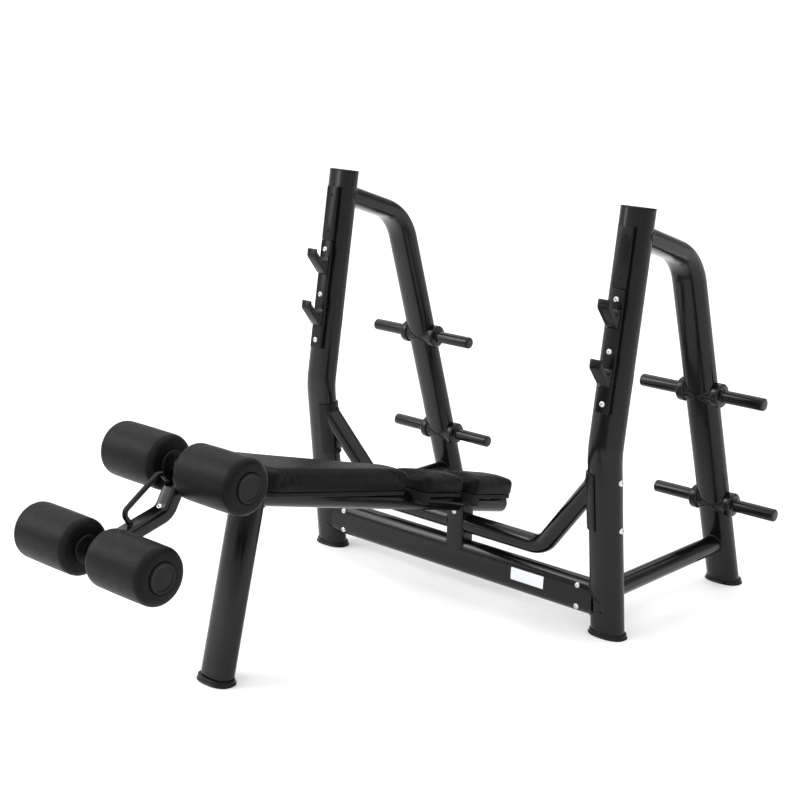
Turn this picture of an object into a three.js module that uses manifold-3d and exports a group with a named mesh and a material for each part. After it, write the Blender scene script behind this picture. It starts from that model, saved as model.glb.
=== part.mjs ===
// Decline bench with a bar rack, foot rollers and plate horns.
// Millimetres, +Z up. +Y runs from the foot rollers to the rear legs, x = 0 is the plane of symmetry,
// and the origin is the middle of the footprint on the floor.
import * as THREE from "three";
import { mergeVertices } from "three/addons/utils/BufferGeometryUtils.js";
import Module from "manifold-3d";

const wasm = await Module();
wasm.setup();

// ------------------------------------------------------------------ driving dimensions
const GAP = 0.3; // between pieces that touch
const FAR = 4000; // size of a cutting block

// Tubes
const OVAL_WIDE = 110;
const OVAL_DEEP = 64;
const OVAL_POWER = 2.4;
const OVAL_POINTS = 24;
const BRACE_RADIUS = 30;
const ROUND_POINTS = 20;
const SMALL_ROUND_POINTS = 16;

// Rack, seen from the side: y from the foot of an upright, z from the floor
const RACK_HALF = 572.4;
const UPRIGHT_FOOT = { y: 0, z: 0 };
const UPRIGHT_KNEE = { y: -67, z: 573 };
const UPRIGHT_TOP = { y: 30.6, z: 1274.5 };
const UPRIGHT_BEND = 250;
const REAR_RUN_START = { y: 20, z: 1198.7 };
const REAR_CORNER = { y: 296, z: 1109 };
const REAR_FOOT = { y: 655, z: 0 };
const REAR_BEND = 170;
const TOP_CAP_THICK = 6;

// Feet
const FOOT_LIFT = 6;
const FOOT_CAP_HEIGHT = 16;
const FOOT_CAP_WALL = 5;
const FOOT_FLANGE_WALL = 8;
const FOOT_FLANGE_HEIGHT = 5;

// Braces
const BEAM_HEIGHT = 111;
const BEAM_END_INSET = 30;
const SIDE_TUBE_HEIGHT = 144;
const U_RUN = { y: -11, z: 220.6 };
const U_CORNER_X = 327.5;
const U_END_HEIGHT = 483.5;
const U_BEND = 86;
const U_CORE_RADIUS = 20; // of the neck that runs through the post
const U_CORE_HALF = 60;
const SADDLE_THICK = 5;
const SADDLE_LOW = 340;
const SADDLE_HIGH = 515;
const SADDLE_EDGE_INSET = 15;
const POST_WIDE = 65;
const POST_Y = [-41.5, 15];
const POST_LOW = 104;
const POST_HIGH = 276;

// Plate horns
const HORN_HEIGHTS = [295, 671];
const HORN_RADIUS = 20;
const HORN_REACH = 218; // tip from the leg's centre plane
const HORN_ROOT = 50;
const COLLAR_RADIUS = 38;
const COLLAR_END = 75;
const COLLAR_EDGE = 6;
const HORN_TIP_EDGE = 6;

// Bar hooks: heights run up the upright from its knee, OUT and BACK forward of the tube's centre line
const PLATE_HALF_WIDTH = 22.5;
const PLATE_OUT = 48;
const PLATE_BACK = 24;
const HOOK_PLATE_V = [121, 475];
const COVER_PLATE_V = [477, 651];
const COVER_HOLES_V = [506, 624];
const COVER_HOLE_RADIUS = 4.5;
const HOOK_HALF_WIDTH = 19.5;
const HOOK_SADDLES_V = [236, 405];
const HOOK_REACH = 63;
const HOOK_LIP_THICK = 7;
const HOOK_LIP_TOP = 41;
const HOOK_LIP_LOW = 17;
const HOOK_RAMP_TOP = 26;
const HOOK_RAMP_ROUND = 9;
const HOOK_ROOT_LOW = -41;
const HOOK_SADDLE_RADIUS = 17;
const HOOK_SADDLE_ARC = 0.62 * Math.PI;

// Bench: y runs along the pads towards the head end, z is normal to them and 0 on the main pad's top
const BENCH_ORIGIN_Z = 381.5;
const BENCH_SLOPE = 0.2456;
const BOARD_TOP = -60.3;
const BOARD_THICK = 12;
const BOARD_INSET = 4;
const BEARER_LENGTH = 35;
const BEARER_HALF_WIDTH = 68;
const BEARER_DEPTH = 25;
const BEARER_CORNER = 12;
const PADS = [
  { name: "main", from: -1000, to: -312, footHalf: 150, headHalf: 57, top: 0, corner: 34, bearer: false },
  { name: "middle", from: -267, to: -52, footHalf: 75, headHalf: 60, top: -6, corner: 24, bearer: true },
  { name: "head", from: -27, to: 206, footHalf: 72, headHalf: 57, top: -6, corner: 24, bearer: true },
];
const SPINE_DEPTH = 96.5; // its centre line below the main pad's top
const SPINE_FROM = -1050;
const SPINE_TO = 212;
const PLUG_THICK = 5;
const PLUG_EDGE = 2.5;
const LEG_FOOT_Y = -1037;
const LEG_SLOPE = 0.232;
const LEG_TOP_Z = 505;
const YOKE_INSET = 20; // of the yoke's root from the spine's front end

// Foot rollers and their arm
const ROLLER_RADIUS = 76;
const ROLLER_FROM = 41;
const ROLLER_TO = 257;
const ROLLER_EDGE = 20;
const ROLLER_EDGE_STEPS = 3;
const ROLLER_POINTS = 24;
const UPPER_AXLE = { y: -1150.5, z: 636 };
const LOWER_AXLE = { y: -1431, z: 472 };
const AXLE_RADIUS = 12.7;
const AXLE_HALF = 245;
const CORE_BORE = 15;
const CORE_RADIUS = 19.5;
const CAP_RADIUS = 39.5;
const CAP_THICK = 11;
const CAP_PROUD = 3; // beyond the roller's end face
const CAP_EDGE = 4;
const RECESS_DEPTH = 11;
const RECESS_RADIUS = 43;
const DISC_RADIUS = 38;
const DISC_FROM = 31;
const DISC_HUB_RADIUS = 19.7;
const ARM_KNEE = { y: -1213.5, z: 527 };
const ARM_HALF_WIDTH = 27;
const ARM_DEEP = 40;
const ARM_CORNER = 12;
const ARM_BEND = 45;
const FORK_HALF = 14;
const FORK_DEPTH = 64;
const LUG_HALF = 12;
const LUG_RADIUS = 28;
const LOOP_RADIUS = 7.5;
const LOOP_BEND = 18;
const LOOP_CORNERS = [
  { y: -1176, z: 586 },
  { y: -1224, z: 638 },
  { y: -1346, z: 555 },
  { y: -1310, z: 498 },
];

// Footprint, which places the origin
const FRONT_EDGE = LOWER_AXLE.y - ROLLER_RADIUS;
const REAR_TILT = Math.atan2(REAR_FOOT.y - REAR_CORNER.y, REAR_CORNER.z - REAR_FOOT.z);
const REAR_EDGE = REAR_FOOT.y + OVAL_DEEP / 2 / Math.cos(REAR_TILT) + FOOT_FLANGE_WALL;
const ORIGIN_SHIFT = -(FRONT_EDGE + REAR_EDGE) / 2;

// ------------------------------------------------------------------ materials
function material(name, color, roughness, metalness) {
  const made = new THREE.MeshStandardMaterial({ color, roughness, metalness });
  made.name = name;
  return made;
}

const FRAME_PAINT = material("frame_paint", 0x2b2b2d, 0.42, 0.2);
const PLATE_PAINT = material("plate_paint", 0x242426, 0.5, 0.2);
const CAP_RUBBER = material("cap_rubber", 0x151516, 0.45, 0);
const CUSHION_VINYL = material("cushion_vinyl", 0x29292b, 0.6, 0);
const BOARD_PLY = material("board_ply", 0x1c1c1d, 0.75, 0);
const ROLLER_FOAM = material("roller_foam", 0x2a2a2c, 0.75, 0);
const HARD_PLASTIC = material("hard_plastic", 0x202022, 0.5, 0);
const AXLE_STEEL = material("axle_steel", 0x8d9094, 0.35, 0.9);

// ------------------------------------------------------------------ solids
function toSolid(geometry) {
  const bare = geometry.index ? geometry.toNonIndexed() : geometry.clone();
  bare.deleteAttribute("normal");
  bare.deleteAttribute("uv");
  const merged = mergeVertices(bare, 1e-3);
  const vertProperties = merged.attributes.position.array;
  const triVerts = new Uint32Array(merged.index.array);
  return new wasm.Manifold(new wasm.Mesh({ numProp: 3, vertProperties, triVerts }));
}

function toGeometry(solid) {
  const made = solid.getMesh();
  const indexed = new THREE.BufferGeometry();
  indexed.setAttribute("position", new THREE.BufferAttribute(made.vertProperties, 3));
  indexed.setIndex(new THREE.BufferAttribute(made.triVerts, 1));
  const geometry = indexed.toNonIndexed();
  geometry.computeVertexNormals();
  return geometry;
}

function carve(geometry, ...cutters) {
  const solid = toSolid(geometry);
  return toGeometry(cutters.map(toSolid).reduce((left, cutter) => left.subtract(cutter), solid));
}

function join(...geometries) {
  return toGeometry(geometries.map(toSolid).reduce((whole, solid) => whole.add(solid)));
}

function overlap(first, second) {
  return toGeometry(toSolid(first).intersect(toSolid(second)));
}

function block(xs, ys, zs) {
  const middle = (span) => (span[0] + span[1]) / 2;
  const length = (span) => span[1] - span[0];
  const geometry = new THREE.BoxGeometry(length(xs), length(ys), length(zs));
  return geometry.translate(middle(xs), middle(ys), middle(zs));
}

// A cylinder along X, about the line through (y, z).
function rodAlongX(radius, xs, { y, z }) {
  const geometry = new THREE.CylinderGeometry(radius, radius, xs[1] - xs[0], ROUND_POINTS);
  return geometry.rotateZ(Math.PI / 2).translate((xs[0] + xs[1]) / 2, y, z);
}

// A solid of revolution about the X axis, from a list of [x, radius] points.
function turnedAboutX(outline, points = SMALL_ROUND_POINTS) {
  const profile = outline.map(([x, radius]) => new THREE.Vector2(radius, x));
  return new THREE.LatheGeometry(profile, points).rotateZ(-Math.PI / 2);
}

// A side outline in (y, z), extruded across X by halfWidth to each side.
function acrossX(outline, halfWidth, curveSegments) {
  const geometry = new THREE.ExtrudeGeometry(outline, {
    depth: 2 * halfWidth,
    bevelEnabled: false,
    curveSegments,
  });
  const yToX = new THREE.Matrix4().set(0, 0, 1, -halfWidth, 1, 0, 0, 0, 0, 1, 0, 0, 0, 0, 0, 1);
  return geometry.applyMatrix4(yToX);
}

// ------------------------------------------------------------------ sections and paths
function ovalSection(wide, deep) {
  const round = (value) => Math.sign(value) * Math.abs(value) ** (2 / OVAL_POWER);
  const points = [];
  for (let i = 0; i < OVAL_POINTS; i++) {
    const turn = (2 * Math.PI * i) / OVAL_POINTS;
    const x = (wide / 2) * round(Math.cos(turn));
    const y = (deep / 2) * round(Math.sin(turn));
    points.push(new THREE.Vector2(x, y));
  }
  return new THREE.Shape(points);
}

function roundSection(radius, points = ROUND_POINTS) {
  return new THREE.Shape(new THREE.EllipseCurve(0, 0, radius, radius).getPoints(points).slice(0, points));
}

function roundedSection(wide, deep, corner) {
  const shape = new THREE.Shape();
  const x = wide / 2 - corner;
  const y = deep / 2 - corner;
  shape.absarc(x, y, corner, 0, Math.PI / 2);
  shape.absarc(-x, y, corner, Math.PI / 2, Math.PI);
  shape.absarc(-x, -y, corner, Math.PI, 1.5 * Math.PI);
  shape.absarc(x, -y, corner, 1.5 * Math.PI, 2 * Math.PI);
  return shape;
}

// A path that is sampled only at its stations: the two ends and along each bend.
class StationPath extends THREE.Curve {
  constructor(stations) {
    super();
    this.stations = stations;
  }
  station(t) {
    return this.stations[Math.round(t * (this.stations.length - 1))];
  }
  getPoint(t, target = new THREE.Vector3()) {
    return target.copy(this.station(t).point);
  }
  getPointAt(t, target) {
    return this.getPoint(t, target);
  }
  getTangent(t, target = new THREE.Vector3()) {
    return target.copy(this.station(t).tangent);
  }
  getTangentAt(t, target) {
    return this.getTangent(t, target);
  }
}

// Straight runs through the corners, with an arc of the given radius at each inner corner.
function bentStations(corners, radius, bendSteps) {
  const heading = (i) => corners[i + 1].clone().sub(corners[i]).normalize();
  const stations = [{ point: corners[0], tangent: heading(0) }];
  for (let i = 1; i < corners.length - 1; i++) {
    const before = heading(i - 1);
    const after = heading(i);
    const turn = before.angleTo(after);
    const inward = after.clone().addScaledVector(before, -Math.cos(turn)).normalize();
    const start = corners[i].clone().addScaledVector(before, -radius * Math.tan(turn / 2));
    for (let step = 0; step <= bendSteps; step++) {
      const angle = (turn * step) / bendSteps;
      const point = start
        .clone()
        .addScaledVector(before, radius * Math.sin(angle))
        .addScaledVector(inward, radius * (1 - Math.cos(angle)));
      const tangent = before
        .clone()
        .multiplyScalar(Math.cos(angle))
        .addScaledVector(inward, Math.sin(angle));
      stations.push({ point, tangent });
    }
  }
  stations.push({ point: corners.at(-1), tangent: heading(corners.length - 2) });
  return stations;
}

function sweep(section, corners, radius = 0, bendSteps = 4) {
  const stations = bentStations(corners, radius, bendSteps);
  return new THREE.ExtrudeGeometry(section, {
    steps: stations.length - 1,
    extrudePath: new StationPath(stations),
    bevelEnabled: false,
    curveSegments: 2,
  });
}

const inSide = ({ y, z }) => new THREE.Vector3(0, y, z);

// The point that lies the given distance beyond `to`, seen from `from`.
function beyond(from, to, distance) {
  const heading = to.clone().sub(from).normalize();
  return to.clone().addScaledVector(heading, distance);
}

// ------------------------------------------------------------------ frame tubes, in their side planes
const BELOW_FLOOR = 40;
const footPoint = inSide(UPRIGHT_FOOT);
const kneePoint = inSide(UPRIGHT_KNEE);
const topPoint = inSide(UPRIGHT_TOP);
const rearCorner = inSide(REAR_CORNER);
const rearFoot = inSide(REAR_FOOT);
const legFoot = new THREE.Vector3(0, LEG_FOOT_Y, 0);
const legTop = new THREE.Vector3(0, LEG_FOOT_Y + LEG_SLOPE * LEG_TOP_Z, LEG_TOP_Z);
const underFeet = block([-FAR, FAR], [-FAR, FAR], [-FAR, FOOT_LIFT]);

// Each tube is grown by `wall` when it serves as the cutter for a piece that hugs it.
function uprightTube(wall = 0) {
  const section = ovalSection(OVAL_WIDE + 2 * wall, OVAL_DEEP + 2 * wall);
  const top = beyond(kneePoint, topPoint, wall > 0 ? BELOW_FLOOR : -TOP_CAP_THICK - GAP);
  return sweep(section, [beyond(kneePoint, footPoint, BELOW_FLOOR), kneePoint, top], UPRIGHT_BEND);
}

function rearTube(wall = 0) {
  const section = ovalSection(OVAL_WIDE + 2 * wall, OVAL_DEEP + 2 * wall);
  const corners = [inSide(REAR_RUN_START), rearCorner, beyond(rearCorner, rearFoot, BELOW_FLOOR)];
  return sweep(section, corners, REAR_BEND, 6);
}

function frontTube(wall = 0) {
  const section = ovalSection(OVAL_WIDE + 2 * wall, OVAL_DEEP + 2 * wall);
  return sweep(section, [beyond(legTop, legFoot, BELOW_FLOOR), legTop]);
}

function topCap() {
  const section = ovalSection(OVAL_WIDE, OVAL_DEEP);
  return sweep(section, [beyond(kneePoint, topPoint, -TOP_CAP_THICK), topPoint]);
}

// A rubber shoe with a flange on the floor, hollowed for the tube that stands in it.
function footCap(foot, upper, tube) {
  const lean = (upper.y - foot.y) / (upper.z - foot.z);
  const depth = OVAL_DEEP * Math.sqrt(1 + lean * lean);
  const layer = (wall, height) =>
    new THREE.ExtrudeGeometry(ovalSection(OVAL_WIDE + 2 * wall, depth + 2 * wall), {
      depth: height,
      bevelEnabled: false,
    });
  const shoe = join(layer(FOOT_FLANGE_WALL, FOOT_FLANGE_HEIGHT), layer(FOOT_CAP_WALL, FOOT_CAP_HEIGHT));
  const pocket = carve(tube, block([-FAR, FAR], [-FAR, FAR], [-FAR, FOOT_LIFT - GAP]));
  return carve(shoe.translate(0, foot.y, 0), pocket);
}

// ------------------------------------------------------------------ braces between the tubes
const SIDES = [
  { side: "left", sign: -1 },
  { side: "right", sign: 1 },
];
const bothUprights = (wall) =>
  SIDES.map(({ sign }) => uprightTube(wall).translate(sign * RACK_HALF, 0, 0));
const UPRIGHT_LEAN = Math.atan2(UPRIGHT_FOOT.y - UPRIGHT_KNEE.y, UPRIGHT_KNEE.z);
const uprightY = (z) => -z * Math.tan(UPRIGHT_LEAN);

function crossBeam(wall = 0) {
  const end = RACK_HALF - BEAM_END_INSET;
  const at = (x) => new THREE.Vector3(x, uprightY(BEAM_HEIGHT), BEAM_HEIGHT);
  return sweep(ovalSection(OVAL_WIDE + 2 * wall, OVAL_DEEP + 2 * wall), [at(-end), at(end)]);
}

function sideTube() {
  const section = roundSection(BRACE_RADIUS);
  const at = (y) => new THREE.Vector3(0, y, SIDE_TUBE_HEIGHT);
  const rearY = REAR_FOOT.y - SIDE_TUBE_HEIGHT * Math.tan(REAR_TILT);
  const tube = sweep(section, [at(uprightY(SIDE_TUBE_HEIGHT)), at(rearY)]);
  return carve(tube, uprightTube(GAP), rearTube(GAP));
}

const postReach = (wall) => [-POST_WIDE / 2 - wall, POST_WIDE / 2 + wall];

function uTubeNeck(wall = 0) {
  const at = (x) => new THREE.Vector3(x, U_RUN.y, U_RUN.z);
  return sweep(roundSection(U_CORE_RADIUS + wall), [at(-U_CORE_HALF), at(U_CORE_HALF)]);
}

// The U-shaped tube rises from the post's sides to the middle of each upright.
function uTube() {
  const endX = RACK_HALF - BEAM_END_INSET;
  const out = U_RUN.y - uprightY(U_END_HEIGHT);
  const up = U_END_HEIGHT - U_RUN.z;
  const rise = Math.hypot(out, up);
  const corners = [
    new THREE.Vector3(-endX, 0, rise),
    new THREE.Vector3(-U_CORNER_X, 0, 0),
    new THREE.Vector3(U_CORNER_X, 0, 0),
    new THREE.Vector3(endX, 0, rise),
  ];
  const tube = sweep(roundSection(BRACE_RADIUS), corners, U_BEND);
  const placed = tube.rotateX(Math.atan2(out, up)).translate(0, U_RUN.y, U_RUN.z);
  return join(carve(placed, block(postReach(GAP), [-FAR, FAR], [-FAR, FAR])), uTubeNeck());
}

// A bent plate that hugs the inner end of an upright, drawn for the upright on the +X side.
function tubeSaddle() {
  const shell = carve(uprightTube(SADDLE_THICK + GAP), uprightTube(GAP));
  const reach = block([-FAR, -SADDLE_EDGE_INSET], [-FAR, FAR], [SADDLE_LOW, SADDLE_HIGH]);
  return overlap(shell, reach);
}

function centrePost() {
  const post = block(postReach(0), POST_Y, [POST_LOW, POST_HIGH]);
  return carve(post, crossBeam(GAP), uTubeNeck(GAP), spineInRack(GAP));
}

// ------------------------------------------------------------------ plate horns
function plateHorn() {
  return turnedAboutX([
    [HORN_ROOT, 0],
    [HORN_ROOT, COLLAR_RADIUS - COLLAR_EDGE],
    [HORN_ROOT + COLLAR_EDGE, COLLAR_RADIUS],
    [COLLAR_END - COLLAR_EDGE, COLLAR_RADIUS],
    [COLLAR_END, COLLAR_RADIUS - COLLAR_EDGE],
    [COLLAR_END, HORN_RADIUS],
    [HORN_REACH - HORN_TIP_EDGE, HORN_RADIUS],
    [HORN_REACH - HORN_TIP_EDGE / 3, HORN_RADIUS - HORN_TIP_EDGE / 3],
    [HORN_REACH, HORN_RADIUS - HORN_TIP_EDGE],
    [HORN_REACH, 0],
  ]);
}

const hornY = (z) => REAR_FOOT.y - z * Math.tan(REAR_TILT);

// Drawn on the +X side of the leg with its axis at the given height.
function fittedHorn(z) {
  return carve(plateHorn().translate(0, hornY(z), z), rearTube(GAP));
}

// ------------------------------------------------------------------ bar hooks, in the upright's frame
const HOOK_LEAN = -Math.atan2(UPRIGHT_TOP.y - UPRIGHT_KNEE.y, UPRIGHT_TOP.z - UPRIGHT_KNEE.z);

function frontPlate(heights) {
  return block([-PLATE_HALF_WIDTH, PLATE_HALF_WIDTH], [-PLATE_OUT, -PLATE_BACK], heights);
}

// A J-shaped hook: the saddle for the bar lies against the plate, and the lip stands at the outer end.
function hookOutline(saddle) {
  const outer = -PLATE_OUT - HOOK_REACH;
  const inner = outer + HOOK_LIP_THICK;
  const centre = { y: -PLATE_OUT - HOOK_SADDLE_RADIUS, z: saddle + HOOK_SADDLE_RADIUS };
  const shape = new THREE.Shape();
  shape.moveTo(-PLATE_BACK, saddle + HOOK_ROOT_LOW);
  shape.lineTo(-PLATE_BACK, centre.z);
  shape.lineTo(-PLATE_OUT, centre.z);
  shape.absarc(centre.y, centre.z, HOOK_SADDLE_RADIUS, 0, -HOOK_SADDLE_ARC, true);
  shape.lineTo(inner + HOOK_RAMP_ROUND, saddle + HOOK_RAMP_TOP);
  shape.quadraticCurveTo(inner, saddle + HOOK_RAMP_TOP, inner, saddle + HOOK_RAMP_TOP + HOOK_RAMP_ROUND);
  shape.lineTo(inner, saddle + HOOK_LIP_TOP);
  shape.lineTo(outer, saddle + HOOK_LIP_TOP);
  shape.lineTo(outer, saddle + HOOK_LIP_LOW);
  shape.lineTo(-PLATE_OUT, saddle + HOOK_ROOT_LOW);
  return shape;
}

function uprightUpperHalf(wall) {
  const geometry = uprightTube(wall).translate(0, -UPRIGHT_KNEE.y, -UPRIGHT_KNEE.z);
  return geometry.rotateX(-HOOK_LEAN);
}

function hookPlate() {
  const hooks = HOOK_SADDLES_V.map((saddle) => acrossX(hookOutline(saddle), HOOK_HALF_WIDTH, 4));
  return carve(join(frontPlate(HOOK_PLATE_V), ...hooks), uprightUpperHalf(GAP));
}

function coverPlate() {
  const holes = COVER_HOLES_V.map((v) => {
    const radius = COVER_HOLE_RADIUS;
    const drill = new THREE.CylinderGeometry(radius, radius, OVAL_DEEP, SMALL_ROUND_POINTS);
    return drill.translate(0, -PLATE_OUT, v);
  });
  return carve(frontPlate(COVER_PLATE_V), uprightUpperHalf(GAP), ...holes);
}

// ------------------------------------------------------------------ bench, in its sloping frame
const BENCH_TILT = -Math.atan(BENCH_SLOPE);
const benchPlace = new THREE.Matrix4()
  .makeRotationX(BENCH_TILT)
  .setPosition(0, 0, BENCH_ORIGIN_Z);

// The plan of a pad: wide at the foot end, narrow at the head end, with rounded corners.
function padPlan({ from, to, footHalf, headHalf, corner }, inset) {
  const radius = corner - inset;
  const lowHalf = footHalf - inset;
  const highHalf = headHalf - inset;
  const taper = Math.atan2(lowHalf - highHalf, to - from - 2 * inset);
  const lowY = from + inset + radius;
  const highY = to - inset - radius;
  const lowX = lowHalf - radius;
  const highX = highHalf - radius;
  const shape = new THREE.Shape();
  shape.absarc(lowX, lowY, radius, -Math.PI / 2, taper);
  shape.absarc(highX, highY, radius, taper, Math.PI / 2);
  shape.absarc(-highX, highY, radius, Math.PI / 2, Math.PI - taper);
  shape.absarc(-lowX, lowY, radius, Math.PI - taper, 1.5 * Math.PI);
  return shape;
}

function padLayer(pad, inset, bottom, top) {
  const geometry = new THREE.ExtrudeGeometry(padPlan(pad, inset), {
    depth: top - bottom,
    bevelEnabled: false,
    curveSegments: 3,
  });
  return geometry.translate(0, 0, bottom);
}

// A ply board, notched over the spine. The short pads' boards carry a cross bearer under the front end.
function board(pad) {
  const bottom = BOARD_TOP - BOARD_THICK;
  const sheet = padLayer(pad, BOARD_INSET, bottom, BOARD_TOP);
  if (!pad.bearer) {
    return carve(sheet, spine(GAP));
  }
  const low = bottom - BEARER_DEPTH;
  const front = pad.from + BOARD_INSET;
  const shape = new THREE.Shape();
  shape.moveTo(front, bottom + BOARD_THICK / 2);
  shape.lineTo(front, low + BEARER_CORNER);
  shape.absarc(front + BEARER_CORNER, low + BEARER_CORNER, BEARER_CORNER, Math.PI, 1.5 * Math.PI);
  shape.lineTo(front + BEARER_LENGTH, low);
  shape.lineTo(front + BEARER_LENGTH, bottom + BOARD_THICK / 2);
  return carve(join(sheet, acrossX(shape, BEARER_HALF_WIDTH, 3)), spine(GAP));
}

function spine(wall = 0) {
  const at = (y) => new THREE.Vector3(0, y, -SPINE_DEPTH);
  return sweep(roundSection(BRACE_RADIUS + wall), [at(SPINE_FROM - wall), at(SPINE_TO + wall)]);
}

const spineInRack = (wall) => spine(wall).applyMatrix4(benchPlace);

function spinePlug() {
  const inner = SPINE_TO + GAP;
  return turnedAboutX([
    [inner, 0],
    [inner, BRACE_RADIUS],
    [inner + PLUG_THICK - PLUG_EDGE, BRACE_RADIUS],
    [inner + PLUG_THICK, BRACE_RADIUS - PLUG_EDGE],
    [inner + PLUG_THICK, 0],
  ])
    .rotateZ(Math.PI / 2)
    .translate(0, 0, -SPINE_DEPTH);
}

// ------------------------------------------------------------------ rollers, arm and yoke
function roller() {
  const outer = ROLLER_TO;
  const outline = [[ROLLER_FROM, CORE_RADIUS + GAP]];
  const roundEdge = (x, fromAngle) => {
    for (let i = 0; i <= ROLLER_EDGE_STEPS; i++) {
      const angle = fromAngle - (i * Math.PI) / 2 / ROLLER_EDGE_STEPS;
      const radius = ROLLER_RADIUS - ROLLER_EDGE + ROLLER_EDGE * Math.sin(angle);
      outline.push([x + ROLLER_EDGE * Math.cos(angle), radius]);
    }
  };
  roundEdge(ROLLER_FROM + ROLLER_EDGE, Math.PI);
  roundEdge(outer - ROLLER_EDGE, Math.PI / 2);
  outline.push([outer, RECESS_RADIUS], [outer - RECESS_DEPTH, RECESS_RADIUS]);
  outline.push([outer - RECESS_DEPTH, CORE_RADIUS + GAP], [ROLLER_FROM, CORE_RADIUS + GAP]);
  return turnedAboutX(outline, ROLLER_POINTS);
}

function rollerCore() {
  const end = ROLLER_TO - RECESS_DEPTH;
  return turnedAboutX([
    [ROLLER_FROM, CORE_BORE],
    [ROLLER_FROM, CORE_RADIUS],
    [end, CORE_RADIUS],
    [end, CORE_BORE],
    [ROLLER_FROM, CORE_BORE],
  ]);
}

function rollerCap() {
  const outer = ROLLER_TO + CAP_PROUD;
  return turnedAboutX([
    [outer - CAP_THICK, 0],
    [outer - CAP_THICK, CAP_RADIUS],
    [outer - CAP_EDGE, CAP_RADIUS],
    [outer, CAP_RADIUS - CAP_EDGE],
    [outer, 0],
  ]);
}

function axleDisc() {
  const bore = AXLE_RADIUS + GAP;
  const outer = ROLLER_FROM - GAP;
  return turnedAboutX([
    [ARM_HALF_WIDTH + GAP, bore],
    [ARM_HALF_WIDTH + GAP, DISC_HUB_RADIUS],
    [DISC_FROM, DISC_HUB_RADIUS],
    [DISC_FROM, DISC_RADIUS],
    [outer, DISC_RADIUS],
    [outer, bore],
    [ARM_HALF_WIDTH + GAP, bore],
  ]);
}

function legArm() {
  const section = roundedSection(2 * ARM_HALF_WIDTH, ARM_DEEP, ARM_CORNER);
  const width = [-ARM_HALF_WIDTH, ARM_HALF_WIDTH];
  const beam = sweep(section, [inSide(UPPER_AXLE), inSide(ARM_KNEE), inSide(LOWER_AXLE)], ARM_BEND);
  const ends = [UPPER_AXLE, LOWER_AXLE].map((axle) => rodAlongX(ARM_DEEP / 2, width, axle));
  const bores = [UPPER_AXLE, LOWER_AXLE].map((axle) => rodAlongX(AXLE_RADIUS + GAP, [-FAR, FAR], axle));
  const slot = rodAlongX(FORK_DEPTH, [-FORK_HALF, FORK_HALF], UPPER_AXLE);
  return carve(join(beam, ...ends), ...bores, slot);
}

function handleLoop() {
  const loop = sweep(roundSection(LOOP_RADIUS, 10), LOOP_CORNERS.map(inSide), LOOP_BEND, 3);
  const section = roundedSection(2 * (ARM_HALF_WIDTH + GAP), ARM_DEEP + 2 * GAP, ARM_CORNER);
  const arm = sweep(section, [inSide(UPPER_AXLE), inSide(ARM_KNEE), inSide(LOWER_AXLE)], ARM_BEND);
  return carve(loop, arm);
}

// A plate that rises from the front end of the spine to the upper axle.
function yoke() {
  const spineEnd = new THREE.Vector3(0, SPINE_FROM, -SPINE_DEPTH).applyMatrix4(benchPlace);
  const root = spineEnd.clone().setY(spineEnd.y + YOKE_INSET);
  const tip = inSide(UPPER_AXLE);
  const lean = Math.atan2(tip.z - root.z, tip.y - root.y);
  const shape = new THREE.Shape();
  shape.absarc(tip.y, tip.z, LUG_RADIUS, lean - Math.PI / 2, lean + Math.PI / 2);
  shape.lineTo(root.y - BRACE_RADIUS * Math.sin(lean), root.z + BRACE_RADIUS * Math.cos(lean));
  shape.lineTo(root.y + BRACE_RADIUS * Math.sin(lean), root.z - BRACE_RADIUS * Math.cos(lean));
  const plate = acrossX(shape, LUG_HALF, 8);
  return carve(plate, rodAlongX(AXLE_RADIUS + GAP, [-FAR, FAR], UPPER_AXLE), spineInRack(GAP));
}

// ------------------------------------------------------------------ assembly
const bench = new THREE.Group();
bench.name = "decline_bench_rack";
const rack = new THREE.Group();
rack.position.y = ORIGIN_SHIFT;
bench.add(rack);

function place(parent, name, geometry, finish, x = 0, y = 0, z = 0) {
  const mesh = new THREE.Mesh(geometry, finish);
  mesh.name = name;
  mesh.position.set(x, y, z);
  parent.add(mesh);
  return mesh;
}

function addSide({ side, sign }) {
  const x = sign * RACK_HALF;
  place(rack, `upright_${side}`, carve(uprightTube(), underFeet), FRAME_PAINT, x);
  place(rack, `upright_top_cap_${side}`, topCap(), CAP_RUBBER, x);
  place(rack, `upright_foot_${side}`, footCap(footPoint, kneePoint, uprightTube(GAP)), CAP_RUBBER, x);
  place(rack, `rear_leg_${side}`, carve(rearTube(), uprightTube(GAP), underFeet), FRAME_PAINT, x);
  place(rack, `rear_foot_${side}`, footCap(rearFoot, rearCorner, rearTube(GAP)), CAP_RUBBER, x);
  place(rack, `side_tube_${side}`, sideTube(), FRAME_PAINT, x);
  const saddle = place(rack, `u_tube_saddle_${side}`, tubeSaddle(), PLATE_PAINT, x);
  saddle.scale.x = sign;
  HORN_HEIGHTS.forEach((z, level) => {
    ["inner", "outer"].forEach((face) => {
      const towards = face === "outer" ? sign : -sign;
      const name = `plate_horn_${side}_${["lower", "upper"][level]}_${face}`;
      place(rack, name, fittedHorn(z), FRAME_PAINT, x).scale.x = towards;
    });
  });
  const front = new THREE.Group();
  front.position.set(x, UPRIGHT_KNEE.y, UPRIGHT_KNEE.z);
  front.rotation.x = HOOK_LEAN;
  rack.add(front);
  place(front, `bar_hook_plate_${side}`, hookPlate(), PLATE_PAINT);
  place(front, `cover_plate_${side}`, coverPlate(), PLATE_PAINT);
}

function addBraces() {
  place(rack, "cross_beam", carve(crossBeam(), ...bothUprights(GAP)), FRAME_PAINT);
  const uCutters = [...bothUprights(SADDLE_THICK + 2 * GAP), spineInRack(GAP)];
  place(rack, "u_tube", carve(uTube(), ...uCutters), FRAME_PAINT);
  place(rack, "centre_post", centrePost(), FRAME_PAINT);
}

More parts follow.
